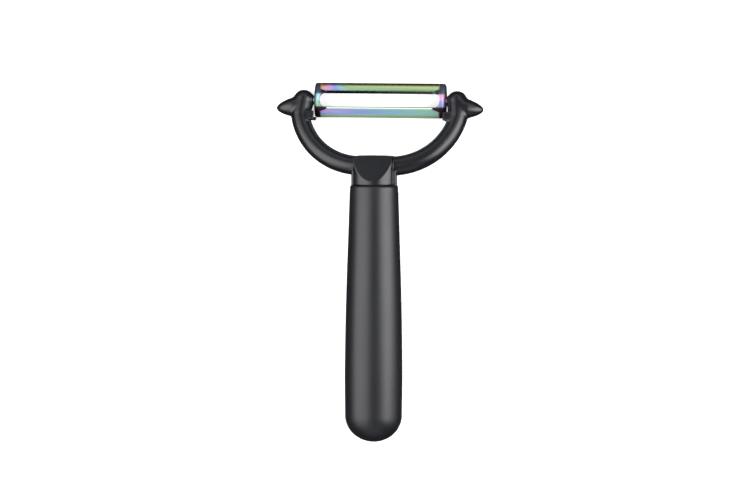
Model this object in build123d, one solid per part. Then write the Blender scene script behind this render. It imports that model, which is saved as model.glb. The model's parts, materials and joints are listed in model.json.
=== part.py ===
from build123d import *
import math
import os

# Y-shaped vegetable peeler with a swivelling slotted blade, lying on its back on a table.
# The pieces are built in the grip's own frame: the grip's axis runs along Y with the seam at zero,
# the head lies towards +Y and the front faces +Z. At the end the whole peeler is tipped by the small
# angle at which its butt and both arm ends touch the table, and moved so that the middle of its
# footprint is the origin. All lengths are in millimetres and all angles in degrees.
# Half outlines are given as radius and height, and shares of depth count from the rim.

# Grip
handle_length = 112.7
rim_radius = 10.62
rim_round = 1.3
waist_radius = 11.48
swell_radius = 12.17
belly_radius = 12.65
butt_radius = 12.5
dome_length = 11.7
depth_share = 0.8
rim_taper_share = 0.022
waist_share = 0.2573
swell_share = 0.457
belly_share = 0.7276

# Socket in the grip, narrower towards its floor
mouth_wall = 2.42
socket_taper = 1.2
butt_wall = 16.7
socket_mouth_radius = rim_radius - mouth_wall
socket_floor_radius = socket_mouth_radius - socket_taper
socket_depth = handle_length - butt_wall

# Neck of the yoke, flush with the grip at the seam
rim_step = 0.27
neck_radius = rim_radius - rim_step
neck_side_cut = 1.9
neck_width = 2 * (neck_radius - neck_side_cut)
neck_height = 12.4
neck_edge = 0.35
top_edge = 0.9
facet_start = 1.9

# Side keys of the neck, seated in notches of the grip's rim
key_reach = 1.5
key_width = neck_width + 2 * key_reach
key_thickness = 3.4
key_drop = 3.3
key_round = 0.85
key_clearance = 0.15

# Tang of the yoke, inside the socket
plug_length = 8.0
tang_length = 44.0
tang_rib = 2.6
tang_clearance = 0.1

# Blade, an arched strip
blade_length = 58.5
blade_width = 15.3
arch_rise = 3.31
arch_radius = (blade_width ** 2 / 4 + arch_rise ** 2) / (2 * arch_rise)
face_height = 3.4
sheet = 0.8
fold_radius = 2.2
rim_overrun = 0.2
slot_end = 2.65
slot_length = blade_length - 2 * slot_end
slot_width = 6.2
bevel_width = 0.9
bevel_depth = 0.55
ear_radius = 3.1
blade_rest_angle = 19.5

# Pivots
pin_radius = 1.25
pin_length = 8.6
pin_nose = 0.4
boss_radius = 2.3
boss_length = 4.6
boss_gap = 0.25
pivot_clearance = 0.05

# Head: two arms on one bow, swept back from the grip's axis, that end either side of the blade
sweep_angle = 24.0
bow_height = 8.0
bow_setback = 2.8
bow_flat = 13.24
arm_radius = 4.2
cap_radius = 4.3
tip_radius = 4.55
tip_spacing = blade_length + 2 * (boss_gap + boss_length)
tip_inset = 1.42
tip_rise = 1.7
bow_radius = tip_spacing / 2 + tip_inset - bow_flat / 2
pivot_height = bow_radius + tip_rise

# Eye removers on the outside of the arms, rooted just outside the arms' centre lines
horn_reach = 11.8
horn_root = 0.38
horn_span = tip_spacing + 2 * horn_reach
horn_length = horn_reach - tip_inset - horn_root
horn_nose_radius = 1.32
horn_radius = 4.2
horn_drop = 4.05
horn_droop_angle = 4.5

# Stop nubs on the inner faces of the arms, in the way of the blade's corners
stop_overlap = 1.65
stop_span = blade_length - 2 * stop_overlap
stop_thickness = 1.1
stop_round = 0.4
front_stop_gap = 2.6
front_stop_drop = 6.1
front_stop_length = 4.4
back_stop_gap = 3.05
back_stop_drop = 6.4
back_stop_length = 1.9

# One overrun for every cut that has to pass clean through
overrun = 2.0

# A quarter turn
quarter_angle = 90.0


def across(height):
    """Plane square to the grip's axis, at a height above the seam."""
    return Plane(origin=(0, height, 0), x_dir=(1, 0, 0), z_dir=(0, 1, 0))


def turned(outline):
    """Solid turned about the grip's axis from a half outline, then flattened front to back."""
    return scale(revolve(Face(Wire(outline)), axis=Axis.Y), by=(1, 1, depth_share))


def socket_radius(depth):
    """Radius of the socket at a depth below the rim."""
    return socket_mouth_radius - (socket_mouth_radius - socket_floor_radius) * depth / socket_depth


def head_frame():
    """Frame of the head: its origin is the middle of the bow, and its XY plane holds both arms."""
    return Location((0, bow_height, -bow_setback), (-sweep_angle, 0, 0))


def pivot_frame():
    """Frame of the blade at rest: its origin is the middle of the pivot axis."""
    return head_frame() * Location((0, pivot_height, 0), (blade_rest_angle, 0, 0))


def make_handle():
    """Tapered grip with a domed butt, a blind socket and two notches in its rim."""
    dome_start = handle_length - dome_length
    rim_top = (rim_radius - rim_round, 0)
    rim_side = (rim_radius, -rim_round)
    side = Spline(
        [rim_side, (waist_radius, -waist_share * handle_length),
         (swell_radius, -swell_share * handle_length),
         (belly_radius, -belly_share * handle_length), (butt_radius, -dome_start)],
        tangents=[(rim_taper_share, -1), (0, -1)],
    )
    dome = EllipticalCenterArc(
        (0, -dome_start), butt_radius, dome_length, 3 * quarter_angle, arc_size=quarter_angle
    )
    outline = [
        Line((socket_mouth_radius, 0), rim_top),
        RadiusArc(rim_top, rim_side, rim_round),
        side,
        dome,
        Line((0, -handle_length), (0, -socket_depth)),
        Line((0, -socket_depth), (socket_floor_radius, -socket_depth)),
        Line((socket_floor_radius, -socket_depth), (socket_mouth_radius, 0)),
    ]
    notch_depth = key_drop + key_clearance
    notch = Pos(0, (overrun - notch_depth) / 2, 0) * Box(
        2 * (rim_radius + overrun), notch_depth + overrun, key_thickness + 2 * key_clearance
    )
    return turned(outline) - notch


def make_neck():
    """Round neck cut flat at both sides, with a key on each side and a slanted front facet."""
    section = Ellipse(neck_radius, neck_radius * depth_share) & Rectangle(neck_width, 2 * neck_radius)
    block = extrude(across(0) * section, amount=neck_height)
    shoulder = block.edges().group_by(Axis.Y)[0]
    block = chamfer(shoulder, neck_edge)
    front = neck_radius * depth_share
    tilt = math.radians(sweep_angle)
    facet_level = (
        (front + bow_setback) * math.cos(tilt) + (facet_start - bow_height) * math.sin(tilt)
    )
    size = 2 * handle_length
    half_space = head_frame() * Pos(0, 0, facet_level + size / 2) * Box(size, size, size)
    block = block - half_space
    block = fillet(block.edges().group_by(Axis.Y)[-1], top_edge)
    key = Pos(0, (neck_height / 2 - key_drop) / 2, 0) * Box(
        key_width, neck_height / 2 + key_drop, key_thickness
    )
    key = fillet(key.edges().filter_by(Axis.Y), key_round)
    return block + key


def make_tang():
    """Plug that closes the socket, with four ribs below it."""
    plug_radius = socket_mouth_radius - tang_clearance
    end_radius = socket_radius(tang_length) - tang_clearance
    mid_radius = socket_radius(plug_length) - tang_clearance
    plug = turned(Polyline(
        (0, 0), (plug_radius, 0), (mid_radius, -plug_length), (0, -plug_length), close=True
    ).edges())
    cone = turned(Polyline(
        (0, 0), (plug_radius, 0), (end_radius, -tang_length), (0, -tang_length), close=True
    ).edges())
    middle = Pos(0, -tang_length / 2, 0)
    ribs = middle * (
        Box(2 * plug_radius, tang_length, tang_rib) + Box(tang_rib, tang_length, 2 * plug_radius)
    )
    return plug + (cone & ribs)


def make_arm():
    """Right arm from the middle of the bow to its end: a round bar along a straight and an arc."""
    bend_x = bow_flat / 2
    path = Wire([
        Line((0, 0), (bend_x, 0)),
        CenterArc((bend_x, bow_radius), bow_radius, 3 * quarter_angle, quarter_angle),
    ])
    section = Plane(origin=path @ 0, z_dir=path % 0) * Circle(arm_radius)
    return sweep(section, path=path)


def make_horn():
    """Pointed eye remover of the right arm, a parabola turned about its own axis."""
    nose_length = horn_radius ** 2 / (2 * horn_nose_radius)
    profile = [
        Bezier((0, 0), (0, horn_radius / 2), (-nose_length, horn_radius)),
        Line((-nose_length, horn_radius), (-horn_length, horn_radius)),
        Line((-horn_length, horn_radius), (-horn_length, 0)),
        Line((-horn_length, 0), (0, 0)),
    ]
    horn = revolve(Face(Wire(profile)), axis=Axis.X)
    place = Location((horn_span / 2, pivot_height - horn_drop, 0), (0, 0, -horn_droop_angle))
    return place * horn


def make_stop(gap, drop, length):
    """Stop nub of the right arm, above the head's plane by a gap and below the pivot by a drop."""
    reach = (tip_spacing - stop_span) / 2
    nub = fillet(Box(reach, length, stop_thickness).edges(), stop_round)
    return Pos(
        (stop_span + reach) / 2, pivot_height - drop - length / 2, gap + stop_thickness / 2
    ) * nub


def pin_place():
    """Middle of the right pin, in the head's frame."""
    inner_end = blade_length / 2 - sheet - pin_nose - pivot_clearance
    return Pos(inner_end + pin_length / 2, pivot_height, 0)


def make_arm_end():
    """Ball end of the right arm with its inward boss, horn and stop nubs, in the head's frame."""
    tip_x = tip_spacing / 2
    turn = Rot(0, 0, quarter_angle)
    cap = Pos(tip_x + tip_inset, bow_radius, 0) * turn * Sphere(cap_radius)
    ball = Pos(tip_x, pivot_height, 0) * turn * Sphere(tip_radius)
    boss = Pos(tip_x - boss_length / 2, pivot_height, 0) * Rot(0, quarter_angle, 0) * Cylinder(
        boss_radius, boss_length
    )
    front_stop = make_stop(front_stop_gap, front_stop_drop, front_stop_length)
    back_stop = mirror(
        make_stop(back_stop_gap, back_stop_drop, back_stop_length), about=Plane.XY
    )
    return cap + ball + boss + make_horn() + front_stop + back_stop


def make_pin():
    """Pivot pin of the right arm with a rounded nose towards the blade, in the head's frame."""
    pin = Rot(0, quarter_angle, 0) * Cylinder(pin_radius, pin_length)
    nose = pin.edges().group_by(Axis.X)[0]
    return pin_place() * fillet(nose, pin_nose)


def make_yoke():
    """The whole head and neck with its tang, as one moulding."""
    bore = pin_place() * Rot(0, quarter_angle, 0) * Cylinder(pin_radius, pin_length)
    arm = make_arm() + make_arm_end() - bore
    head = arm + mirror(arm, about=Plane.YZ)
    return make_neck() + make_tang() + head_frame() * head


def arch_height(offset):
    """Height of the blade's outer face at an offset from its middle line."""
    return face_height - arch_radius + math.sqrt(arch_radius ** 2 - offset ** 2)


def arched_bar(radius, half_width, length, fold):
    """Bar under the arch of the given radius, its two upper end edges rounded like a fold."""
    middle = face_height - arch_radius
    shoulder = middle + math.sqrt(radius ** 2 - half_width ** 2)
    floor = -ear_radius - overrun
    section = Face(Wire([
        ThreePointArc((half_width, shoulder), (0, middle + radius), (-half_width, shoulder)),
        Line((-half_width, shoulder), (-half_width, floor)),
        Line((-half_width, floor), (half_width, floor)),
        Line((half_width, floor), (half_width, shoulder)),
    ]))
    bar = extrude(Plane.YZ * section, amount=length / 2, both=True)
    return fillet(bar.edges().filter_by(GeomType.CIRCLE), fold)


def blade_outline():
    """End view of the blade: arch, square sheet edges and the ears tapering to a round lobe."""
    half = blade_width / 2
    rim_angle = math.asin(half / arch_radius)
    outer_rim = (half, arch_height(half))
    inner_rim = (half - sheet * math.sin(rim_angle), outer_rim[1] - sheet * math.cos(rim_angle))
    reach = math.hypot(*inner_rim)
    turn = math.atan2(inner_rim[1], inner_rim[0]) - math.acos(ear_radius / reach)
    lobe = (ear_radius * math.cos(turn), ear_radius * math.sin(turn))
    outer_left, inner_left, lobe_left = [(-y, z) for y, z in (outer_rim, inner_rim, lobe)]
    return Face(Wire([
        ThreePointArc(outer_rim, (0, face_height), outer_left),
        Line(outer_left, inner_left),
        Line(inner_left, lobe_left),
        ThreePointArc(lobe_left, (0, -ear_radius), lobe),
        Line(lobe, inner_rim),
        Line(inner_rim, outer_rim),
    ]))


def make_blade():
    """Arched strip with a slot, ground slot edges, and both ends folded back into ears."""
    half = blade_width / 2
    outer = arched_bar(arch_radius, half, blade_length, fold_radius)
    inner = arched_bar(
        arch_radius - sheet, half + rim_overrun, blade_length - 2 * sheet, fold_radius - sheet
    )
    ends = extrude(Plane.YZ * blade_outline(), amount=blade_length / 2 + overrun, both=True)
    blade = (outer - inner) & ends
    slot = Pos(0, 0, face_height / 2) * extrude(
        SlotOverall(slot_length, slot_width), amount=face_height
    )
    blade = blade - slot
    edge = slot_width / 2
    wedge_face = Face(Wire(Polyline(
        (edge, arch_height(edge) - bevel_depth),
        (edge + bevel_width, arch_height(edge + bevel_width)),
        (edge + bevel_width, face_height + overrun),
        (edge, face_height + overrun),
        close=True,
    ).edges()))
    wedge = extrude(Plane.YZ * wedge_face, amount=(slot_length - slot_width) / 2, both=True)
    blade = blade - wedge - mirror(wedge, about=Plane.XZ)
    eye = Rot(0, quarter_angle, 0) * Cylinder(pin_radius + pivot_clearance, blade_length + overrun)
    return blade - eye


def lying_angle():
    """Tip of the grip's axis at which the domed butt and the arm ends touch one flat surface."""
    tilt = math.radians(sweep_angle)
    tip_y = bow_height + pivot_height * math.cos(tilt)
    tip_z = -bow_setback - pivot_height * math.sin(tilt)
    butt_y = dome_length - handle_length
    angle = 0
    for _ in range(20):
        butt_reach = math.hypot(
            dome_length * math.sin(angle), butt_radius * depth_share * math.cos(angle)
        )
        rise = tip_radius - tip_z * math.cos(angle) - butt_reach
        angle = math.asin(rise / (tip_y - butt_y))
    return math.degrees(angle)


def main():
    """Make every piece, lay the peeler down and write one file for each piece."""
    head = head_frame()
    pin = make_pin()
    pieces = {
        "yoke": make_yoke(),
        "handle": make_handle(),
        "blade": pivot_frame() * make_blade(),
        "pivot_pin_right": head * pin,
        "pivot_pin_left": head * mirror(pin, about=Plane.YZ),
    }
    tip = Rot(lying_angle(), 0, 0)
    lying = {name: tip * piece for name, piece in pieces.items()}
    box = Compound(children=[Compound(piece.solids()) for piece in lying.values()]).bounding_box()
    middle = box.center()
    shift = Pos(-middle.X, -middle.Y, -box.min.Z)
    os.makedirs("parts", exist_ok=True)
    for name, piece in lying.items():
        export_step(shift * piece, f"parts/{name}.step")
    pivot = (shift * tip * head * Pos(0, pivot_height, 0)).position
    print("lying angle", round(lying_angle(), 4))
    print("pivot at", [round(value, 4) for value in pivot])
    print("size", [round(value, 3) for value in box.size])


main()
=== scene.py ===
import json
import math

import bpy
from mathutils import Matrix, Quaternion, Vector
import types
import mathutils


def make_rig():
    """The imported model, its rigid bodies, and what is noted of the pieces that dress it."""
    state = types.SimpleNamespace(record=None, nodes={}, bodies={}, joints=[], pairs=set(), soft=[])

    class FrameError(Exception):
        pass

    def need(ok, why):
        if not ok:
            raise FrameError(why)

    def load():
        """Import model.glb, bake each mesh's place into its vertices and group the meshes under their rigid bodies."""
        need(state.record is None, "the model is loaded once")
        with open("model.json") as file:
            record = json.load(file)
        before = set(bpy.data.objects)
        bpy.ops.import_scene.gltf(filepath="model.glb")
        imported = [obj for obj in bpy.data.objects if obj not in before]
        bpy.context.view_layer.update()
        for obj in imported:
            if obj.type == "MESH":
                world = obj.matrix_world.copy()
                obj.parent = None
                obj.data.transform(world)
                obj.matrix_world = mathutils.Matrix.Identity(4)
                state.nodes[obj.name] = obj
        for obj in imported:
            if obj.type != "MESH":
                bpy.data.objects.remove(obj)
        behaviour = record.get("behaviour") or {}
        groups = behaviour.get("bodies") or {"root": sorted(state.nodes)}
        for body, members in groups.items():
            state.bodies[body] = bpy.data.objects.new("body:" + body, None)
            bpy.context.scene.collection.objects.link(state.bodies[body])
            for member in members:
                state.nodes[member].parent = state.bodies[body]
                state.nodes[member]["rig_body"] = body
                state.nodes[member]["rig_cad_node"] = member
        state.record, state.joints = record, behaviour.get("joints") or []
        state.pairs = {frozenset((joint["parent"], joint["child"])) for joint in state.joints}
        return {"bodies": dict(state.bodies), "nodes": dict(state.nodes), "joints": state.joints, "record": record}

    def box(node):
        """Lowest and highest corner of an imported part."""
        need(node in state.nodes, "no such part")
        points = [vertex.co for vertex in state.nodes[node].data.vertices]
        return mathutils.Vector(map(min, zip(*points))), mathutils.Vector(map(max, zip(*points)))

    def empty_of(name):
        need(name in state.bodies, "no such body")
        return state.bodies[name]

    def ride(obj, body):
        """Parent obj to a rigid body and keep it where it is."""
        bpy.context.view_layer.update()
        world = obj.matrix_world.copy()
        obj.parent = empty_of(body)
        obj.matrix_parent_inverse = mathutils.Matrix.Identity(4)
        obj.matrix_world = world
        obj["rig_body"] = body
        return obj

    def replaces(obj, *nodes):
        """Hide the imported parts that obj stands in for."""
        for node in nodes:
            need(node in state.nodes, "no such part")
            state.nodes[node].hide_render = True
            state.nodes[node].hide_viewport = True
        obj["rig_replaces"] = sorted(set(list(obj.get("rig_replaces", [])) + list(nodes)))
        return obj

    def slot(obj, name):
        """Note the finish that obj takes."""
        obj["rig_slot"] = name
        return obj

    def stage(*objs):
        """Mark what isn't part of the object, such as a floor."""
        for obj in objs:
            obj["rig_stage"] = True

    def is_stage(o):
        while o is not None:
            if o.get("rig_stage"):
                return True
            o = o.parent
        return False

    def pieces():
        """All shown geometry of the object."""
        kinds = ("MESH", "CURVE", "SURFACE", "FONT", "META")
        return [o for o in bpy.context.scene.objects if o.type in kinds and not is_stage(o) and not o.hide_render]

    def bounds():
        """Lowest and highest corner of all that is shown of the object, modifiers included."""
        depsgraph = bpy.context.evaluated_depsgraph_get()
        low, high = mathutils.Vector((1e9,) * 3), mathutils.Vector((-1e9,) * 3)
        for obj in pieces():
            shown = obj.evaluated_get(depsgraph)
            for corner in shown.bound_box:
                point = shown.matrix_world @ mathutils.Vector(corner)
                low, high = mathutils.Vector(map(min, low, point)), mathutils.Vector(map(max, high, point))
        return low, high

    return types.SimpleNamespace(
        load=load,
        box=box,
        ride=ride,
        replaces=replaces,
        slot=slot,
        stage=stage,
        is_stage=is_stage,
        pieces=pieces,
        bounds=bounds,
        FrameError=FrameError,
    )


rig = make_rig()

bl_info = {
    "name": "Vegetable Peeler",
    "version": (1, 0, 0),
    "blender": (4, 5, 0),
    "location": "3D View > Sidebar > Peeler",
    "description": "Dresses a Y-shaped vegetable peeler and sets it in a plain studio",
    "category": "Object",
}

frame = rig.load()
CAD_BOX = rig.bounds()

MM = 0.001
# two places nearer to each other than this count as one
TOUCH = 0.01 * MM
PIVOT = (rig.box("pivot_pin_left")[0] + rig.box("pivot_pin_right")[1]) / 2
# the grip's own frame: its axis lies along Y and its rim is at zero
LYING_ANGLE = math.radians(4.0816)
RIM_MIDDLE = Vector((0, 33.918, 17.198)) * MM
GRIP_FRAME = Matrix.Translation(RIM_MIDDLE) @ Matrix.Rotation(LYING_ANGLE, 4, "X")
# the head leans back from the grip's axis, and the blade at rest is turned forward from the head
SWEEP_ANGLE = math.radians(24)
BLADE_REST_ANGLE = math.radians(19.5)
HEAD_FRAME = Matrix.Translation(PIVOT) @ Matrix.Rotation(LYING_ANGLE - SWEEP_ANGLE, 4, "X")
BLADE_FRAME = HEAD_FRAME @ Matrix.Rotation(BLADE_REST_ANGLE, 4, "X")


def linear(hex_colour):
    """Linear colour with full alpha from an sRGB hex value."""
    channels = [int(hex_colour[i:i + 2], 16) / 255 for i in (1, 3, 5)]
    return [c / 12.92 if c <= 0.04045 else ((c + 0.055) / 1.055) ** 2.4 for c in channels] + [1]


def length(name, description, millimetres):
    """A length that the sidebar shows, with its default in millimetres."""
    return bpy.props.FloatProperty(
        name=name, description=description, default=millimetres * MM, min=0, unit="LENGTH",
        precision=5,
    )


def share(name, description, default):
    """A plain number from 0 to 1 that the sidebar shows."""
    return bpy.props.FloatProperty(
        name=name, description=description, default=default, min=0, max=1, subtype="FACTOR"
    )


def count(name, description, default):
    """A whole number that the sidebar shows."""
    return bpy.props.IntProperty(
        name=name, description=description, default=default, min=0, max=256
    )


def strength(name, description, default):
    """A strength of light that the sidebar shows."""
    return bpy.props.FloatProperty(name=name, description=description, default=default, min=0)


def turn(name, description, degrees):
    """An angle that the sidebar shows, with its default in degrees."""
    return bpy.props.FloatProperty(
        name=name, description=description, default=math.radians(degrees), subtype="ANGLE"
    )


def colour(name, description, hex_colour):
    """A colour that the sidebar shows, with its default as an sRGB hex value."""
    return bpy.props.FloatVectorProperty(
        name=name, description=description, default=linear(hex_colour), size=4, min=0, max=1,
        subtype="COLOR",
    )


class GripSettings(bpy.types.PropertyGroup):
    length: length("Length", "Grip from its rim to the top of its domed butt", 112.7)
    rim_radius: length("Rim radius", "Half the grip's width at its rim", 10.62)
    rim_round: length("Rim round", "Radius of the rounded rim", 1.3)
    waist_radius: length("Waist radius", "Half width a quarter of the way down", 11.48)
    swell_radius: length("Swell radius", "Half width halfway down", 12.17)
    belly_radius: length("Belly radius", "Half width where the grip is thickest", 12.65)
    butt_radius: length("Butt radius", "Half width where the dome starts", 12.5)
    dome_length: length("Dome length", "Height of the domed butt", 11.7)
    waist_share: share("Waist share", "Place of the waist along the grip", 0.2573)
    swell_share: share("Swell share", "Place of the swell along the grip", 0.457)
    belly_share: share("Belly share", "Place of the belly along the grip", 0.7276)
    rim_taper_share: share("Rim taper", "Widening of the side just below the rim", 0.022)
    mouth_radius: length("Mouth radius", "Radius of the socket at the rim", 8.2)
    floor_radius: length("Floor radius", "Radius of the socket at its floor", 7.0)
    socket_depth: length("Socket depth", "Depth of the socket that holds the tang", 96.0)
    depth_share: share("Depth share", "Front to back size as a share of the width", 0.8)
    notch_width: length("Notch width", "Width of the notches for the neck's keys", 3.7)
    notch_depth: length("Notch depth", "Depth of the notches for the neck's keys", 3.45)
    edge_round: length("Edge round", "Rounding of the sharp edges of the socket and notches", 0.2)
    sides: count("Sides", "Narrow faces round the grip", 128)
    colour: colour("Colour", "Charcoal of the matt grip, a little blue", "#0f1015")


class YokeSettings(bpy.types.PropertyGroup):
    grid: length("Grid", "Mesh size of the moulding", 0.2)
    relaxing: count("Relaxing", "Rounds of smoothing that ease the moulded corners", 12)
    end_relaxing: count("End relaxing", "Further rounds that blend each arm into its ball end", 80)
    end_start: length("End start", "Where the blending starts, from the middle of the head", 30.6)
    end_stop: length("End stop", "Where the blending starts to fade, from the middle of the head", 40.0)
    end_fade: length("End fade", "Length over which the blending fades along the horn", 3.0)
    nub_share: share("Nub share", "Share of the blending that rounds the stop nubs", 1.0)
    nub_start: length("Nub start", "Inner end of the stop nubs, from the middle of the head", 27.0)
    nub_drop: length("Nub drop", "Reach of the stop nubs below the pivot axis", 11.5)
    nub_tip: length("Nub tip", "Where the stop nubs are cut off, from the middle of the head", 28.4)
    end_radius: length("End radius", "Radius of the straight piece below each ball end", 4.35)
    end_spacing: length("End spacing", "Middle of a ball end, from the middle of the head", 34.15)
    end_splay: length("End splay", "How far the straight piece leans outwards", 0.85)
    end_top: length("End top", "Top of the straight piece below the pivot axis", 1.5)
    end_bottom: length("End bottom", "Bottom of the straight piece below the pivot axis", 7.5)
    kept_share: share("Kept share", "Share of the mesh's faces that is kept", 0.42)
    colour: colour("Colour", "Charcoal of the satin yoke, a little blue", "#0d0e13")


class BladeSettings(bpy.types.PropertyGroup):
    length: length("Length", "Blade over its folded ends", 58.5)
    width: length("Width", "Blade across both bars", 15.3)
    arch_radius: length("Arch radius", "Radius of the arched face", 10.497)
    face_height: length("Face height", "Top of the face above the pivot axis", 3.4)
    sheet: length("Sheet", "Thickness of the steel sheet", 0.8)
    fold_radius: length("Fold radius", "Outer radius of the folds at both ends", 2.2)
    ear_radius: length("Ear radius", "Reach of the ears below the pivot axis", 3.1)
    eye_radius: length("Eye radius", "Radius of the holes that take the pins", 1.3)
    slot_length: length("Slot length", "Length of the slot", 53.2)
    slot_half: length("Slot half width", "Half width of the slot", 3.1)
    bevel: length("Bevel width", "Width of the ground slot edges", 0.9)
    bevel_depth: length("Bevel depth", "Depth of the ground slot edges", 0.55)
    # the pale band along the near slot edge is bare steel, lightened with a painted highlight
    bare_edge: length("Bare edge", "Width of the bare steel along the near slot edge", 0.55)
    edge_round: length("Edge round", "Rounding of the sheet's edges", 0.08)
    coat_reach: length("Coat reach", "Half length over which the coat changes colour", 27.0)


class StudioSettings(bpy.types.PropertyGroup):
    distance: length("Distance", "From the camera to the middle of the view", 1311.0)
    yaw: turn("Yaw", "Lean of the view towards the right of the peeler", 9.7)
    pitch: turn("Pitch", "Lean of the view towards the butt of the peeler", -1)
    roll: turn("Roll", "Turn of the picture", 0.85)
    lens: bpy.props.FloatProperty(
        name="Lens", description="Focal length in millimetres", default=144.0, min=1,
    )
    target: bpy.props.FloatVectorProperty(
        name="Target", description="Point in the middle of the picture",
        default=(-0.4 * MM, 5.4 * MM, 10 * MM), unit="LENGTH",
    )
    floor_size: length("Floor size", "Side of the square floor", 6000.0)
    floor_colour: colour("Floor colour", "Pale floor", "#fafafa")
    floor_glow: strength("Floor glow", "Light that comes up through the floor", 0.42)
    air_light: strength("Air light", "Even light from all round", 0.06)


def use(piece):
    """Leave edit mode, and make one object the only selected and active one."""
    if bpy.context.mode != "OBJECT":
        bpy.ops.object.mode_set(mode="OBJECT")
    bpy.ops.object.select_all(action="DESELECT")
    piece.select_set(True)
    bpy.context.view_layer.objects.active = piece


def edit(piece):
    """Open one object in edit mode with nothing selected."""
    use(piece)
    bpy.ops.object.mode_set(mode="EDIT")
    bpy.ops.mesh.select_all(action="DESELECT")


def add_modifier(piece, kind, **settings):
    """Add a modifier, set it and apply it."""
    use(piece)
    modifier = piece.modifiers.new(kind.title(), kind)
    for name, value in settings.items():
        setattr(modifier, name, value)
    bpy.ops.object.modifier_apply(modifier=modifier.name)


def welded_copy(node, name):
    """A copy of a CAD node's mesh with its loose triangles joined and its stored normals cleared."""
    weld_distance = 0.001 * MM
    source = frame["nodes"][node]
    piece = bpy.data.objects.new(name, source.data.copy())
    bpy.context.scene.collection.objects.link(piece)
    piece.data.materials.clear()
    edit(piece)
    bpy.ops.mesh.select_all(action="SELECT")
    bpy.ops.mesh.remove_doubles(threshold=weld_distance)
    bpy.ops.object.mode_set(mode="OBJECT")
    bpy.ops.mesh.customdata_custom_splitnormals_clear()
    return piece


def place_shape(piece, matrix):
    """Move a finished shape and leave its object at the origin, unturned and unscaled."""
    use(piece)
    piece.matrix_world = matrix
    bpy.ops.object.transform_apply(location=True, rotation=True, scale=True)


def arm_end(moulding, side):
    """Straight round piece that carries one arm on up into its ball end."""
    low = Vector((moulding.end_spacing + moulding.end_splay, -moulding.end_bottom))
    high = Vector((moulding.end_spacing, -moulding.end_top))
    middle = (low + high) / 2
    piece = start(
        bpy.ops.mesh.primitive_cylinder_add, "arm_end", vertices=64, radius=moulding.end_radius,
        depth=(high - low).length, rotation=(math.pi / 2, 0, 0),
    )
    lean = math.atan2(low.x - high.x, high.y - low.y)
    place_shape(piece, (
        HEAD_FRAME @ Matrix.Translation((side * middle.x, middle.y, 0))
        @ Matrix.Rotation(side * lean, 4, "Z")
    ))
    return piece


def nub_trimmer(moulding):
    """Block between the arms that takes the sharp tips off the stop nubs."""
    trimmer = start(
        bpy.ops.mesh.primitive_cube_add, "nub_trimmer", size=1,
        scale=(2 * moulding.nub_tip, moulding.nub_drop, 4 * moulding.end_radius),
        location=(0, -moulding.nub_drop / 2, 0),
    )
    place_shape(trimmer, HEAD_FRAME)
    return trimmer


def blending(moulding, place):
    """Share of the blending at a place in the head's frame, whole at the ball ends."""
    out = abs(place.x)
    if out > moulding.end_start:
        return min(1, max(0, (moulding.end_stop + moulding.end_fade - out) / moulding.end_fade))
    if out > moulding.nub_start and place.y > -moulding.nub_drop:
        return moulding.nub_share
    return 0


def even_skin(piece, moulding):
    """Give a closed shape an even mesh, and ease its corners as a mould does.

    The mesh's squares follow the grip's own frame, so that the edges of the neck come out straight."""
    place_shape(piece, GRIP_FRAME.inverted())
    piece.data.remesh_voxel_size = moulding.grid
    bpy.ops.object.voxel_remesh()
    add_modifier(piece, "SMOOTH", factor=0.5, iterations=moulding.relaxing)
    ends = piece.vertex_groups.new(name="arm_ends")
    to_head = HEAD_FRAME.inverted() @ GRIP_FRAME
    for vertex in piece.data.vertices:
        weight = blending(moulding, to_head @ vertex.co)
        if weight > 0:
            ends.add([vertex.index], weight, "REPLACE")
    add_modifier(
        piece, "SMOOTH", factor=0.5, iterations=moulding.end_relaxing, vertex_group="arm_ends"
    )
    add_modifier(piece, "DECIMATE", ratio=moulding.kept_share)
    place_shape(piece, GRIP_FRAME)
    bpy.ops.object.shade_smooth()


def start(add_primitive, name, **settings):
    """Add the primitive that a new shape starts from, alone selected, with its place in its mesh."""
    bpy.ops.object.select_all(action="DESELECT")
    add_primitive(**settings)
    piece = bpy.context.active_object
    piece.name = name
    bpy.ops.object.transform_apply(location=True, rotation=True, scale=True)
    return piece


def pick(piece, wanted):
    """Open a shape in edit mode with only the vertices selected whose place passes a test."""
    edit(piece)
    bpy.ops.object.mode_set(mode="OBJECT")
    for vertex in piece.data.vertices:
        vertex.select = wanted(vertex.co)
    for line in piece.data.edges:
        line.select = all(piece.data.vertices[end].select for end in line.vertices)
    bpy.ops.object.mode_set(mode="EDIT")


def turn_outwards(piece):
    """Make all faces of a shape point outwards."""
    edit(piece)
    bpy.ops.mesh.select_all(action="SELECT")
    bpy.ops.mesh.normals_make_consistent(inside=False)
    bpy.ops.object.mode_set(mode="OBJECT")


def carve(piece, cutter, operation="DIFFERENCE"):
    """Cut one shape with another and throw the cutter away."""
    add_modifier(piece, "BOOLEAN", object=cutter, operation=operation, solver="EXACT")
    bpy.data.objects.remove(cutter)


def soften_edges(piece, width, sharper_than):
    """Round every edge that turns by more than an angle."""
    add_modifier(
        piece, "BEVEL", width=width, segments=2, limit_method="ANGLE", angle_limit=sharper_than,
        use_clamp_overlap=False,
    )


def set_inputs(tree, node, inputs):
    """Set or link a node's inputs. A node given as a value stands for its first output in use."""
    for socket, value in inputs.items():
        if isinstance(value, bpy.types.Node):
            value = next(output for output in value.outputs if output.enabled)
        if isinstance(value, bpy.types.NodeSocket):
            tree.links.new(value, node.inputs[socket])
        else:
            node.inputs[socket].default_value = value


def add_node(tree, kind, inputs=None, **settings):
    """Add a node with its settings, and set or link its inputs."""
    added = tree.nodes.new(kind)
    for name, value in settings.items():
        setattr(added, name, value)
    set_inputs(tree, added, inputs or {})
    return added


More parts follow.
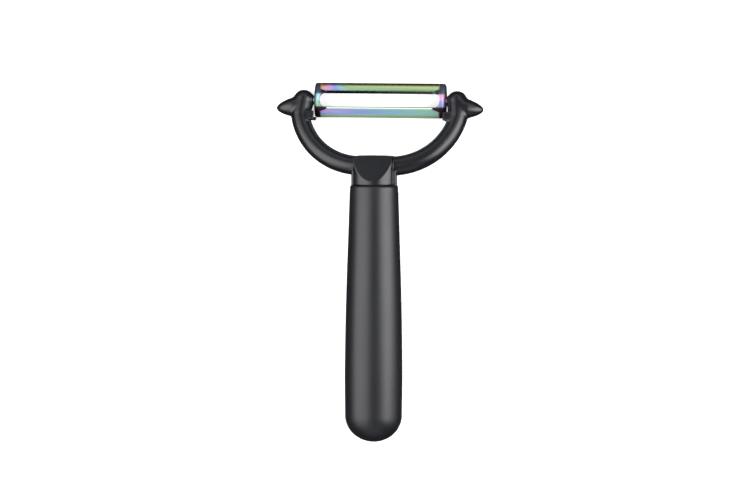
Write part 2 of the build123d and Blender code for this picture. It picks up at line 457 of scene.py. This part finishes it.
def new_material(name):
    """A new node material, with its tree, its shader and the object coordinates that it reads."""
    made = bpy.data.materials.new(name)
    made.use_nodes = True
    tree = made.node_tree
    place = add_node(tree, "ShaderNodeTexCoord").outputs["Object"]
    return made, tree, tree.nodes["Principled BSDF"], place


def grained_moulding(name, base, grain, roughness, bump):
    """Moulded polymer: a dark body colour, a fine even grain and a satin to matt gloss.

    Its tone and gloss drift a little over the piece, as the melt cooled unevenly. The size of the
    grain and the height of its bump are in millimetres."""
    drift_size = 18
    drift_gloss = 0.03
    made, tree, shader, place = new_material(name)
    fine = add_node(tree, "ShaderNodeTexNoise", {
        "Vector": place, "Scale": 1 / (grain * MM), "Detail": 2.0, "Roughness": 0.6,
    })
    broad = add_node(tree, "ShaderNodeTexNoise", {
        "Vector": place, "Scale": 1 / (drift_size * MM), "Detail": 1.0,
    })
    speck = add_node(tree, "ShaderNodeMapRange", {
        "Value": fine, "From Min": 0.3, "From Max": 0.7, "To Min": 0.9, "To Max": 1.12,
    })
    tone = add_node(tree, "ShaderNodeMapRange", {
        "Value": broad, "From Min": 0.3, "From Max": 0.7, "To Min": 0.97, "To Max": 1.03,
    })
    both = add_node(tree, "ShaderNodeMath", {0: speck, 1: tone}, operation="MULTIPLY")
    body = add_node(tree, "ShaderNodeVectorMath", {0: base[:3], "Scale": both}, operation="SCALE")
    gloss = add_node(tree, "ShaderNodeMapRange", {
        "Value": broad, "To Min": roughness - drift_gloss, "To Max": roughness + drift_gloss,
    })
    relief = add_node(tree, "ShaderNodeBump", {"Height": fine, "Distance": bump * MM})
    set_inputs(tree, shader, {"Base Color": body, "Roughness": gloss, "Normal": relief})
    return made


# the coat's run of colours: place in the run, and sRGB colour
COAT_COLOURS = (
    (0.0, "#e0b088"), (0.13, "#efb4cc"), (0.24, "#d9b4fa"), (0.36, "#a8b6ea"), (0.47, "#a6d0ea"),
    (0.57, "#acdacc"), (0.68, "#a7d09e"), (0.82, "#d2df9c"), (1.0, "#a4a27a"),
)


class StripPlaces:
    """Where a point lies on the coated strip, in millimetres from the middle of the pivot axis."""

    def __init__(self, tree, place, blade):
        self.centred = add_node(tree, "ShaderNodeMapping", {
            "Vector": place, "Location": -PIVOT / MM, "Scale": (1 / MM, 1 / MM, 1 / MM),
        })
        split = add_node(tree, "ShaderNodeSeparateXYZ", {"Vector": self.centred})
        self.along, self.across, _ = split.outputs
        # how far out from the strip's middle, and how far off its middle line
        self.out = add_node(tree, "ShaderNodeMath", {0: self.along}, operation="ABSOLUTE")
        self.off = add_node(tree, "ShaderNodeMath", {0: self.across}, operation="ABSOLUTE")
        # 0 on the near bar and 1 on the far one
        self.far = add_node(tree, "ShaderNodeMapRange", {
            "Value": self.across, "From Min": -0.5, "From Max": 0.5,
        })
        self.end = blade.coat_reach / MM
        self.slot_edge = blade.slot_half / MM


def far_bar_coat(tree, strip):
    """Place in the run of colours over the far bar.

    It is green, turns yellow and then olive towards the outer edge, and runs back to pink over the
    left end."""
    left_end = {"Value": strip.along, "From Min": -14, "From Max": -26}
    drift = add_node(tree, "ShaderNodeMapRange", {
        "Value": strip.along, "From Min": -strip.end, "From Max": strip.end,
        "To Min": 0.6, "To Max": 0.7,
    })
    fall = add_node(tree, "ShaderNodeMapRange", {**left_end, "To Min": 0.0, "To Max": -0.55})
    outwards = add_node(tree, "ShaderNodeMapRange", {
        "Value": strip.off, "From Min": 5.0, "From Max": 7.4,
    })
    climb = add_node(tree, "ShaderNodeMapRange", {**left_end, "To Min": 0.36, "To Max": -0.24})
    inner = add_node(tree, "ShaderNodeMath", {0: drift, 1: fall}, operation="ADD")
    return add_node(tree, "ShaderNodeMath", {
        0: outwards, 1: climb, 2: inner,
    }, operation="MULTIPLY_ADD")


def near_bar_coat(tree, strip):
    """Place in the run of colours over the near bar.

    It is teal, turns green at the outer edge, and has a band along its middle that runs back to blue
    and lilac towards the left."""
    band_depth = add_node(tree, "ShaderNodeMapRange", {
        "Value": strip.along, "From Min": -strip.end, "From Max": strip.end,
        "To Min": 0.36, "To Max": 0.02,
    })
    band_start = add_node(tree, "ShaderNodeMapRange", {
        "Value": strip.off, "From Min": 3.4, "From Max": 4.6,
    }, interpolation_type="SMOOTHSTEP")
    band_stop = add_node(tree, "ShaderNodeMapRange", {
        "Value": strip.off, "From Min": 5.4, "From Max": 7.0, "To Min": 1.0, "To Max": 0.0,
    }, interpolation_type="SMOOTHSTEP")
    edge = add_node(tree, "ShaderNodeMapRange", {
        "Value": strip.off, "From Min": 6.6, "From Max": 7.6, "To Min": 0.6, "To Max": 0.8,
    })
    band = add_node(tree, "ShaderNodeMath", {0: band_start, 1: band_stop}, operation="MULTIPLY")
    dip = add_node(tree, "ShaderNodeMath", {0: band_depth, 1: band}, operation="MULTIPLY")
    return add_node(tree, "ShaderNodeMath", {0: edge, 1: dip}, operation="SUBTRACT")


def end_coat(tree, strip):
    """Place in the run of colours beside the slot's ends: teal at the left, pink to blue at the right."""
    left = add_node(tree, "ShaderNodeMath", {
        0: strip.across, 1: -0.03, 2: 0.54,
    }, operation="MULTIPLY_ADD")
    right = add_node(tree, "ShaderNodeMath", {
        0: strip.across, 1: -0.06, 2: 0.26,
    }, operation="MULTIPLY_ADD")
    side = add_node(tree, "ShaderNodeMapRange", {"Value": strip.along, "From Min": -1, "From Max": 1})
    return add_node(tree, "ShaderNodeMix", {"Factor": side, "A": left, "B": right})


def coat_thickness(tree, strip):
    """Place in the run of colours over the whole strip, a little clouded."""
    cloud_size = 12.5
    bars = add_node(tree, "ShaderNodeMix", {
        "Factor": strip.far, "A": near_bar_coat(tree, strip), "B": far_bar_coat(tree, strip),
    })
    fold = add_node(tree, "ShaderNodeMapRange", {
        "Value": strip.out, "From Min": strip.end - 1.6, "From Max": strip.end - 0.4,
    }, interpolation_type="SMOOTHSTEP")
    beside_slot = add_node(tree, "ShaderNodeMath", {
        0: strip.off, 1: strip.slot_edge,
    }, operation="LESS_THAN")
    at_end = add_node(tree, "ShaderNodeMath", {0: fold, 1: beside_slot}, operation="MULTIPLY")
    even = add_node(tree, "ShaderNodeMix", {
        "Factor": at_end, "A": bars, "B": end_coat(tree, strip),
    })
    cloud = add_node(tree, "ShaderNodeTexNoise", {
        "Vector": strip.centred, "Scale": 1 / cloud_size, "Detail": 1.0,
    })
    mottle = add_node(tree, "ShaderNodeMapRange", {"Value": cloud, "To Min": -0.04, "To Max": 0.04})
    return add_node(tree, "ShaderNodeMath", {0: even, 1: mottle}, operation="ADD")


def coat_colour(tree, thickness):
    """Colour of the coat at a place in its run of colours."""
    run = add_node(tree, "ShaderNodeValToRGB", {"Fac": thickness})
    stops = run.color_ramp.elements
    stops.remove(stops[-1])
    stops[0].color = linear(COAT_COLOURS[0][1])
    for position, hex_colour in COAT_COLOURS[1:]:
        stops.new(position).color = linear(hex_colour)
    return run


def painted_coat_shade(tree, strip):
    """How bright the coat is: painted shade darkens it over the folds, and along the slot's near edge."""
    # painted shade along the near bar, darkest beside the slot
    near = add_node(tree, "ShaderNodeMapRange", {
        "Value": strip.off, "From Min": 3.7, "From Max": 6.2, "To Min": 0.55, "To Max": 1.0,
    })
    bars = add_node(tree, "ShaderNodeMix", {"Factor": strip.far, "A": near, "B": 1.0})
    # painted shade over the folds at both ends
    fold = add_node(tree, "ShaderNodeMapRange", {
        "Value": strip.out, "From Min": strip.end - 0.4, "From Max": strip.end + 1.4,
    }, interpolation_type="SMOOTHSTEP")
    return add_node(tree, "ShaderNodeMix", {"Factor": fold, "A": bars, "B": 0.4})


def shaded_corners(tree, strip):
    """1 over the folded corners, each with a wedge that runs in along the slot, and 0 elsewhere: where painted shade
    goes.
    """
    wedge = add_node(tree, "ShaderNodeMapRange", {
        "Value": strip.off, "From Min": 0.0, "From Max": 5.0, "To Min": 12.5, "To Max": 0.0,
    })
    reached = add_node(tree, "ShaderNodeMath", {0: strip.out, 1: wedge}, operation="ADD")
    in_wedge = add_node(tree, "ShaderNodeMapRange", {
        "Value": reached, "From Min": strip.end - 1.2, "From Max": strip.end - 0.2,
    }, interpolation_type="SMOOTHSTEP")
    past_slot = add_node(tree, "ShaderNodeMapRange", {
        "Value": strip.off, "From Min": strip.slot_edge - 0.7, "From Max": strip.slot_edge + 0.2,
    }, interpolation_type="SMOOTHSTEP")
    return add_node(tree, "ShaderNodeMath", {0: in_wedge, 1: past_slot}, operation="MULTIPLY")


def ground_edges(tree, strip, near_width, far_width):
    """1 on the ground edges of the slot, whose widths are in millimetres, and 0 elsewhere."""
    stop = add_node(tree, "ShaderNodeMix", {
        "Factor": strip.far, "A": strip.slot_edge + near_width, "B": strip.slot_edge + far_width,
    })
    ground = add_node(tree, "ShaderNodeMath", {0: strip.off, 1: stop}, operation="LESS_THAN")
    limits = (
        (strip.off, strip.slot_edge - 0.2, "GREATER_THAN"), (strip.out, strip.end - 3.5, "LESS_THAN"),
    )
    for spot, limit, side in limits:
        within = add_node(tree, "ShaderNodeMath", {0: spot, 1: limit}, operation=side)
        ground = add_node(tree, "ShaderNodeMath", {0: ground, 1: within}, operation="MULTIPLY")
    return ground


def brushed_gloss(tree, strip, brushing):
    """Roughness that follows the brush marks.

    Both ends are duller, because the sheet was stretched there when it was folded, and so is the near
    bar, which rubs along the food."""
    dull_bar = add_node(tree, "ShaderNodeMix", {"Factor": strip.far, "A": 0.56, "B": 0.14})
    dull_end = add_node(tree, "ShaderNodeMapRange", {
        "Value": strip.out, "From Min": strip.end - 1.4, "From Max": strip.end - 0.2,
    }, interpolation_type="SMOOTHSTEP")
    least = add_node(tree, "ShaderNodeMix", {"Factor": dull_end, "A": dull_bar, "B": 0.46})
    most = add_node(tree, "ShaderNodeMath", {0: least, 1: 0.12}, operation="ADD")
    return add_node(tree, "ShaderNodeMapRange", {"Value": brushing, "To Min": least, "To Max": most})


def rainbow_coat(blade):
    """Polished stainless strip, brushed along its length, under a thin interference coat.

    The coat's thickness, and so its colour, drifts along the strip and from one bar to the other.
    Painted shade darkens it over the folded corners, over the folds and along the near slot edge. Of the
    two ground slot edges the near one is bare steel lightened with a painted highlight, and the far one
    is darkened with painted shade."""
    # brush marks in each millimetre, along the strip and across it; real ones are finer still
    marks_along, marks_across = 0.15, 6.0
    made, tree, shader, place = new_material("rainbow_coated_stainless")
    strip = StripPlaces(tree, place, blade)
    toned = add_node(tree, "ShaderNodeVectorMath", {
        0: coat_colour(tree, coat_thickness(tree, strip)), "Scale": painted_coat_shade(tree, strip),
    }, operation="SCALE")
    # painted shade over the folded corners: dark maroon on the near bar, dark grey on the far bar
    corner_shade_colour = add_node(tree, "ShaderNodeMix", {
        "Factor": strip.far, "A": linear("#3b2231"), "B": linear("#4d5562"),
    }, data_type="RGBA")
    folded = add_node(tree, "ShaderNodeMix", {
        "Factor": shaded_corners(tree, strip), "A": toned, "B": corner_shade_colour,
    }, data_type="RGBA")
    # painted highlight on the near ground edge, which is bare steel, and painted shade on the far ground edge
    edge_highlight_and_shade = add_node(tree, "ShaderNodeMix", {
        "Factor": strip.far, "A": linear("#e4efdc"), "B": linear("#23271f"),
    }, data_type="RGBA")
    coated = add_node(tree, "ShaderNodeMix", {
        "Factor": ground_edges(tree, strip, blade.bare_edge / MM, blade.bevel / MM),
        "A": folded, "B": edge_highlight_and_shade,
    }, data_type="RGBA")
    stretched = add_node(tree, "ShaderNodeMapping", {
        "Vector": strip.centred, "Scale": (marks_along, marks_across, marks_across),
    })
    brushing = add_node(tree, "ShaderNodeTexNoise", {"Vector": stretched, "Scale": 1.0, "Detail": 3.0})
    relief = add_node(tree, "ShaderNodeBump", {"Height": brushing, "Distance": 0.004 * MM})
    set_inputs(tree, shader, {
        "Base Color": coated, "Roughness": brushed_gloss(tree, strip, brushing),
        "Normal": relief, "Metallic": 1.0,
    })
    return made


def turned_steel():
    """Turned stainless pin: rings of tool marks about the pin's own axis, which lies along X.

    The wave texture has a band every 0.314 units, so the rings are 0.63 mm apart. Real tool marks are
    finer and wouldn't show."""
    made, tree, shader, place = new_material("turned_stainless")
    rings = add_node(tree, "ShaderNodeTexWave", {
        "Vector": place, "Scale": 1 / (2.0 * MM), "Distortion": 0.4,
    }, wave_type="BANDS", bands_direction="X")
    height = rings.outputs["Fac"]
    gloss = add_node(tree, "ShaderNodeMapRange", {"Value": height, "To Min": 0.25, "To Max": 0.38})
    relief = add_node(tree, "ShaderNodeBump", {"Height": height, "Distance": 0.005 * MM})
    set_inputs(tree, shader, {
        "Base Color": linear("#c3c3c6"), "Roughness": gloss, "Normal": relief, "Metallic": 1.0,
    })
    return made


def side_radius(grip, depth):
    """Radius of the grip's side at a depth below the seam, a smooth curve through its named radii."""
    stations = (
        grip.rim_round, grip.waist_share * grip.length, grip.swell_share * grip.length,
        grip.belly_share * grip.length, grip.length - grip.dome_length,
    )
    radii = (
        grip.rim_radius, grip.waist_radius, grip.swell_radius, grip.belly_radius, grip.butt_radius
    )
    slopes = [grip.rim_taper_share] + [
        (radii[i + 1] - radii[i - 1]) / (stations[i + 1] - stations[i - 1]) for i in (1, 2, 3)
    ] + [0.0]
    i = max(k for k in range(4) if k == 0 or stations[k] <= depth)
    span = stations[i + 1] - stations[i]
    t = (depth - stations[i]) / span
    return (
        (2 * t ** 3 - 3 * t ** 2 + 1) * radii[i] + (3 * t ** 2 - 2 * t ** 3) * radii[i + 1]
        + ((t ** 3 - 2 * t ** 2 + t) * slopes[i] + (t ** 3 - t ** 2) * slopes[i + 1]) * span
    )


def grip_rings(grip):
    """Radius and depth of each ring of the grip, from the socket's floor over the rim to the butt."""
    rim_steps, side_steps, dome_steps = 8, 36, 18
    rings = [(grip.floor_radius, grip.socket_depth), (grip.mouth_radius, 0)]
    top = grip.rim_radius - grip.rim_round
    for i in range(rim_steps + 1):
        angle = math.pi / 2 * i / rim_steps
        rings.append((top + grip.rim_round * math.sin(angle), grip.rim_round * (1 - math.cos(angle))))
    dome_start = grip.length - grip.dome_length
    for i in range(1, side_steps + 1):
        depth = grip.rim_round + (dome_start - grip.rim_round) * i / side_steps
        rings.append((side_radius(grip, depth), depth))
    # the last ring is as good as a point, and is merged into one
    for i in range(1, dome_steps + 1):
        angle = math.pi / 2 * i / dome_steps
        radius = max(grip.butt_radius * math.cos(angle), TOUCH)
        rings.append((radius, dome_start + grip.dome_length * math.sin(angle)))
    return rings


def turned_shell(name, rings, vertices):
    """A closed shape drawn ring by ring about the Y axis, from (radius, depth) pairs."""
    radius, depth = rings[0]
    piece = start(
        bpy.ops.mesh.primitive_circle_add, name, vertices=vertices, radius=radius,
        location=(0, -depth, 0), rotation=(math.pi / 2, 0, 0), fill_type="NGON",
    )
    bpy.ops.object.mode_set(mode="EDIT")
    bpy.ops.mesh.select_all(action="SELECT")
    for next_radius, next_depth in rings[1:]:
        step = (0, depth - next_depth, 0)
        bpy.ops.mesh.extrude_region_move(TRANSFORM_OT_translate={"value": step})
        grow = next_radius / radius
        bpy.ops.transform.resize(value=(grow, grow, grow), center_override=(0, -next_depth, 0))
        radius, depth = next_radius, next_depth
    bpy.ops.mesh.merge(type="CENTER")
    turn_outwards(piece)
    return piece


class PEELER_OT_grip(bpy.types.Operator):
    """Model the tapered grip, ring by ring, with its socket and its two notches"""
    bl_idname = "peeler.grip"
    bl_label = "Grip"

    def execute(self, context):
        grip = context.scene.peeler_grip
        piece = turned_shell("grip", grip_rings(grip), grip.sides)
        place_shape(piece, Matrix.Diagonal((1, 1, grip.depth_share, 1)))
        carve(piece, start(
            bpy.ops.mesh.primitive_cube_add, "notch", size=1,
            scale=(4 * grip.rim_radius, 2 * grip.notch_depth, grip.notch_width),
        ))
        soften_edges(piece, grip.edge_round, sharper_than=math.radians(50))
        place_shape(piece, GRIP_FRAME)
        bpy.ops.object.shade_smooth_by_angle(angle=math.radians(35))
        piece.data.materials.append(grained_moulding(
            "matt_grained_grip", grip.colour, grain=0.35, roughness=0.38, bump=0.004
        ))
        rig.replaces(piece, "handle")
        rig.slot(piece, "grip_moulding")
        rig.ride(piece, "frame")
        return {"FINISHED"}


class PEELER_OT_yoke(bpy.types.Operator):
    """Dress the one-piece yoke: arms, horns, nubs and neck blended as one moulding"""
    bl_idname = "peeler.yoke"
    bl_label = "Yoke"

    def execute(self, context):
        moulding = context.scene.peeler_yoke
        piece = welded_copy("yoke", "yoke_moulding")
        carve(piece, nub_trimmer(moulding))
        additions = [arm_end(moulding, side) for side in (-1, 1)]
        use(piece)
        for addition in additions:
            addition.select_set(True)
        bpy.ops.object.join()
        even_skin(piece, moulding)
        piece.data.materials.append(grained_moulding(
            "satin_moulded_nylon", moulding.colour, grain=0.5, roughness=0.29, bump=0.003
        ))
        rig.replaces(piece, "yoke")
        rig.slot(piece, "yoke_moulding")
        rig.ride(piece, "frame")
        return {"FINISHED"}


def arch_height(blade, offset):
    """Height of the blade's face above the pivot axis, at an offset from its middle line."""
    return blade.face_height - blade.arch_radius + math.sqrt(blade.arch_radius ** 2 - offset ** 2)


def arched_sheet(blade):
    """The blade's outer skin: one long edge spun into the arch, with both ends folded down."""
    flat = blade.length - 2 * blade.fold_radius
    rim = -blade.width / 2
    piece = start(
        bpy.ops.mesh.primitive_plane_add, "coated_blade", size=flat,
        location=(0, rim + flat / 2, arch_height(blade, rim)),
    )
    pick(piece, lambda place: place.y > rim + flat / 2)
    bpy.ops.mesh.delete(type="VERT")
    bpy.ops.mesh.select_all(action="SELECT")
    bpy.ops.mesh.spin(
        steps=60, angle=2 * math.asin(blade.width / 2 / blade.arch_radius),
        center=(0, 0, blade.face_height - blade.arch_radius), axis=(1, 0, 0),
    )
    fold_steps = 10
    for side in (-1, 1):
        pick(piece, lambda place: abs(place.x - side * flat / 2) < TOUCH)
        for i in range(fold_steps):
            here, there = (math.pi / 2 * k / fold_steps for k in (i, i + 1))
            step = (
                side * blade.fold_radius * (math.sin(there) - math.sin(here)), 0,
                blade.fold_radius * (math.cos(there) - math.cos(here)),
            )
            bpy.ops.mesh.extrude_region_move(TRANSFORM_OT_translate={"value": step})
        drop = (0, 0, -2 * blade.ear_radius)
        bpy.ops.mesh.extrude_region_move(TRANSFORM_OT_translate={"value": drop})
        bpy.ops.transform.resize(value=(1, 1, 0), center_override=drop)
    turn_outwards(piece)
    return piece


def end_view_cutter(blade):
    """Hull that keeps the blade's end view: round lobes below, tapering up to the sheet's rims."""
    rim_angle = math.asin(blade.width / 2 / blade.arch_radius)
    inner = blade.arch_radius - blade.sheet
    # a little under the inner corner of the rim
    under_rim = Vector((
        inner * math.sin(rim_angle), blade.face_height - blade.arch_radius
        + inner * math.cos(rim_angle) - 0.1 * blade.sheet,
    ))
    touch = math.atan2(under_rim.y, under_rim.x) - math.acos(blade.ear_radius / under_rim.length)
    lobe = Vector((math.cos(touch), math.sin(touch))) * blade.ear_radius
    corner = under_rim + (under_rim - lobe) / 2
    cutter = start(
        bpy.ops.mesh.primitive_cylinder_add, "end_view", vertices=96, radius=blade.ear_radius,
        depth=2 * blade.length, rotation=(0, math.pi / 2, 0),
    )
    bpy.ops.object.mode_set(mode="EDIT")
    bpy.ops.mesh.primitive_cube_add(
        size=1, location=(0, 0, corner.y + blade.width / 2),
        scale=(2 * blade.length, 2 * corner.x, blade.width),
    )
    bpy.ops.mesh.select_all(action="SELECT")
    bpy.ops.mesh.convex_hull()
    turn_outwards(cutter)
    return cutter


def slot_cutter(blade):
    """Upright cutter with round ends for the blade's slot."""
    radius = blade.slot_half
    sides = 64
    # turned by half a side, so that no vertex lies on the middle line where the halves part
    cutter = start(
        bpy.ops.mesh.primitive_cylinder_add, "slot", vertices=sides, radius=radius, depth=2 * radius,
        location=(0, 0, radius), rotation=(0, 0, math.pi / sides),
    )
    reach = blade.slot_length / 2 - radius
    for side in (-1, 1):
        pick(cutter, lambda place: place.x * side > 0 and abs(place.x) < reach)
        bpy.ops.transform.translate(value=(side * reach, 0, 0))
        bpy.ops.object.mode_set(mode="OBJECT")
    return cutter


def edge_grinder(blade, side):
    """Block whose lower face is the ground bevel of one slot edge."""
    edge = blade.slot_half
    foot = arch_height(blade, edge) - blade.bevel_depth
    rise = arch_height(blade, edge + blade.bevel) - foot
    cutter = start(
        bpy.ops.mesh.primitive_cube_add, "grinder", size=1,
        scale=(blade.slot_length - 2 * edge, 3 * blade.bevel, 2 * blade.bevel),
        location=(0, 0, blade.bevel),
    )
    place_shape(cutter, (
        Matrix.Translation((0, side * edge, foot))
        @ Matrix.Rotation(side * math.atan2(rise, blade.bevel), 4, "X")
    ))
    return cutter


class PEELER_OT_blade(bpy.types.Operator):
    """Model the slotted blade as a pressed sheet with folded ears, and give it its rainbow coat"""
    bl_idname = "peeler.blade"
    bl_label = "Blade"

    def execute(self, context):
        blade = context.scene.peeler_blade
        piece = arched_sheet(blade)
        add_modifier(piece, "SOLIDIFY", thickness=blade.sheet, offset=-1, use_even_offset=True)
        turn_outwards(piece)
        carve(piece, end_view_cutter(blade), "INTERSECT")
        carve(piece, slot_cutter(blade))
        for side in (-1, 1):
            carve(piece, edge_grinder(blade, side))
        carve(piece, start(
            bpy.ops.mesh.primitive_cylinder_add, "eye", vertices=48, radius=blade.eye_radius,
            depth=2 * blade.length, rotation=(0, math.pi / 2, 0),
        ))
        soften_edges(piece, blade.edge_round, sharper_than=math.radians(30))
        place_shape(piece, BLADE_FRAME)
        bpy.ops.object.shade_smooth_by_angle(angle=math.radians(25))
        piece.data.materials.append(rainbow_coat(blade))
        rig.replaces(piece, "blade")
        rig.slot(piece, "coated_blade_steel")
        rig.ride(piece, "blade")
        return {"FINISHED"}


class PEELER_OT_pins(bpy.types.Operator):
    """Finish the two steel pivot pins"""
    bl_idname = "peeler.pins"
    bl_label = "Pivot pins"

    def execute(self, context):
        steel = turned_steel()
        for side in ("left", "right"):
            pin = frame["nodes"]["pivot_pin_" + side]
            pin.data.materials.clear()
            pin.data.materials.append(steel)
        return {"FINISHED"}


# name, place in metres, length and height in metres, turn about its own axis in degrees, watts
SOFTBOXES = (
    ("left_softbox", (-0.44, 0.0, 0.465), (1.4, 0.6), 0, 4.0),
    ("left_core", (-0.40, 0.0, 0.50), (0.6, 0.7), 0, 3.1),
    ("right_softbox", (0.53, 0.1, 0.36), (1.4, 0.6), 30, 3.0),
    ("right_core", (0.515, 0.05, 0.385), (0.5, 0.7), 45, 5.6),
    ("near_softbox", (0.0, -0.82, 0.47), (0.9, 0.9), 0, 1.3),
    ("low_far_softbox", (0.0, 0.86, 0.38), (0.9, 0.42), 0, 1.0),
)


def softbox(name, place, size, turned, power):
    """A white rectangular softbox that faces the peeler; a core is the brighter middle of one."""
    data = bpy.data.lights.new(name, "AREA")
    data.shape = "RECTANGLE"
    data.size, data.size_y = size
    data.energy = power
    lamp = bpy.data.objects.new(name, data)
    bpy.context.scene.collection.objects.link(lamp)
    lamp.location = place
    facing = (-Vector(place)).to_track_quat("-Z", "Y")
    lamp.rotation_euler = (facing @ Quaternion((0, 0, 1), math.radians(turned))).to_euler()


def pale_floor(studio):
    """Pale paper floor, lit a little from below as on a light table.

    So no dark shadow fills the blade's slot. The photograph is cut out, so the peeler's sides mirror
    a dark studio and not the floor."""
    bpy.ops.object.select_all(action="DESELECT")
    bpy.ops.mesh.primitive_plane_add(size=studio.floor_size)
    floor = bpy.context.active_object
    floor.name = "floor"
    floor.visible_glossy = False
    # size in millimetres of the patches with a little more or less gloss
    patch_size = 15
    made, tree, shader, place = new_material("pale_paper")
    patches = add_node(tree, "ShaderNodeTexNoise", {"Vector": place, "Scale": 1 / (patch_size * MM)})
    gloss = add_node(tree, "ShaderNodeMapRange", {"Value": patches, "To Min": 0.8, "To Max": 0.9})
    set_inputs(tree, shader, {
        "Base Color": studio.floor_colour, "Roughness": gloss,
        "Emission Color": studio.floor_colour, "Emission Strength": studio.floor_glow,
    })
    floor.data.materials.append(made)
    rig.stage(floor)


def studio_air(studio):
    """Faint even light from all round."""
    world = bpy.data.worlds.new("studio_air")
    world.use_nodes = True
    set_inputs(world.node_tree, world.node_tree.nodes["Background"], {
        "Color": linear("#ffffff"), "Strength": studio.air_light,
    })
    bpy.context.scene.world = world


def photo_camera(studio):
    """Camera that looks down on the peeler as the photograph does."""
    data = bpy.data.cameras.new("photo_camera")
    data.lens = studio.lens
    data.sensor_width = 36
    data.clip_end = 20
    camera = bpy.data.objects.new("photo_camera", data)
    bpy.context.scene.collection.objects.link(camera)
    target = Vector(studio.target)
    back = Vector((math.tan(studio.yaw), -math.tan(studio.pitch), 1)).normalized()
    right = Vector((0, 1, 0)).cross(back).normalized()
    roll = Matrix.Rotation(studio.roll, 3, back)
    axes = Matrix((roll @ right, roll @ back.cross(right), back)).transposed()
    camera.matrix_world = Matrix.Translation(target + back * studio.distance) @ axes.to_4x4()
    bpy.context.scene.camera = camera


class PEELER_OT_stage(bpy.types.Operator):
    """Set the pale floor, the soft lights and the camera at the photograph's angle"""
    bl_idname = "peeler.stage"
    bl_label = "Stage"

    def execute(self, context):
        studio = context.scene.peeler_studio
        pale_floor(studio)
        studio_air(studio)
        for name, place, size, turned, power in SOFTBOXES:
            softbox(name, place, size, turned, power)
        photo_camera(studio)
        context.scene.view_settings.view_transform = "Standard"
        return {"FINISHED"}


class PEELER_PT_panel(bpy.types.Panel):
    """Lists the peeler's pieces and the settings that change them"""
    bl_idname = "PEELER_PT_panel"
    bl_label = "Vegetable Peeler"
    bl_space_type = "VIEW_3D"
    bl_region_type = "UI"
    bl_category = "Peeler"

    def draw(self, context):
        for operator, settings in STEPS:
            self.layout.operator(operator.bl_idname)
            group = getattr(context.scene, settings, None) if settings else None
            for name in group.bl_rna.properties.keys() if group else ():
                if name not in ("rna_type", "name"):
                    self.layout.prop(group, name)


# the settings of the scene, and the steps in their order with the settings that each one reads
SETTINGS = {
    "peeler_grip": GripSettings,
    "peeler_yoke": YokeSettings,
    "peeler_blade": BladeSettings,
    "peeler_studio": StudioSettings,
}
STEPS = (
    (PEELER_OT_grip, "peeler_grip"),
    (PEELER_OT_yoke, "peeler_yoke"),
    (PEELER_OT_blade, "peeler_blade"),
    (PEELER_OT_pins, None),
    (PEELER_OT_stage, "peeler_studio"),
)


def register():
    for name, group in SETTINGS.items():
        bpy.utils.register_class(group)
        setattr(bpy.types.Scene, name, bpy.props.PointerProperty(type=group))
    for operator, _ in STEPS:
        bpy.utils.register_class(operator)
    bpy.utils.register_class(PEELER_PT_panel)


def unregister():
    bpy.utils.unregister_class(PEELER_PT_panel)
    for operator, _ in reversed(STEPS):
        bpy.utils.unregister_class(operator)
    for name, group in reversed(SETTINGS.items()):
        delattr(bpy.types.Scene, name)
        bpy.utils.unregister_class(group)


def main():
    register()
    for operator, _ in STEPS:
        group, name = operator.bl_idname.split(".")
        getattr(getattr(bpy.ops, group), name)()
    boxes = {"cad": CAD_BOX, "visual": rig.bounds()}
    sizes = {name: [list(corner) for corner in box] for name, box in boxes.items()}
    with open("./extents.json", "w") as file:
        json.dump(sizes, file)


if __name__ == "__main__":
    main()
